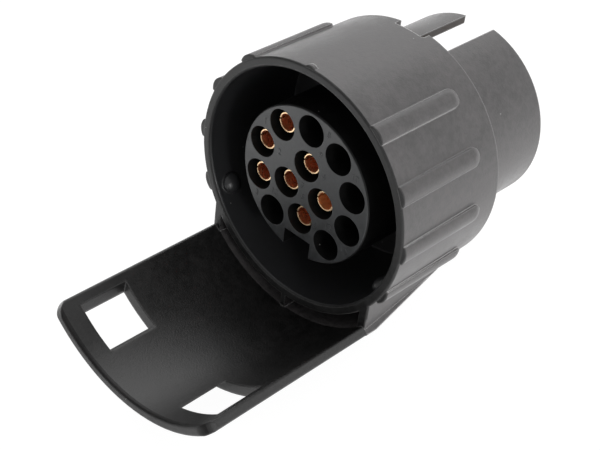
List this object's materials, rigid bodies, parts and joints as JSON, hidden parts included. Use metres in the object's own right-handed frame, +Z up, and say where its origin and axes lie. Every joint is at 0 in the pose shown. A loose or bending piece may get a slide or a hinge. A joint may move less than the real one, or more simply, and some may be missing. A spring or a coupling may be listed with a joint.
{
  "type": "trailer plug adapter",
  "caption": "Round black plug adapter joining a small vehicle socket to a larger trailer plug, with a keyed mouth, a curved tongue below and a slotted plug sleeve behind.",
  "frame": {"origin": "on the plug axis, where the seven-pole sleeve leaves the rear shoulder", "axes": "+Z up as the part lies on a table; the plug axis runs in the YZ plane, tipped by 9.93 degrees: +Y and a little down is the way the seven-pole plug goes into its socket, the thirteen-pole mouth faces -Y; +X is to the right seen from the mouth"},
  "size_m": [0.0548, 0.1009, 0.0579],
  "materials": {
    "housing_plastic": "fine-grained black moulding, satin to matt",
    "carrier_plastic": "dark grey moulding, matt",
    "contact_metal": "bare copper alloy, polished at the mouths",
    "pin_metal": "turned brass",
    "wire_insulation": "smooth cable insulation"
  },
  "bodies": {
    "root": {"housing": "housing_plastic", "socket_carrier": "carrier_plastic", "contact_1": "contact_metal", "contact_2": "contact_metal", "contact_3": "contact_metal", "contact_4": "contact_metal", "contact_5": "contact_metal", "contact_6": "contact_metal", "contact_7": "contact_metal", "pin_carrier": "carrier_plastic", "pin_1": "pin_metal", "pin_2": "pin_metal", "pin_3": "pin_metal", "pin_4": "pin_metal", "pin_5": "pin_metal", "pin_6": "pin_metal", "pin_7": "pin_metal", "wire_1": "wire_insulation", "wire_2": "wire_insulation", "wire_3": "wire_insulation", "wire_4": "wire_insulation", "wire_5": "wire_insulation", "wire_6": "wire_insulation", "wire_7": "wire_insulation"}
  },
  "joints": []
}
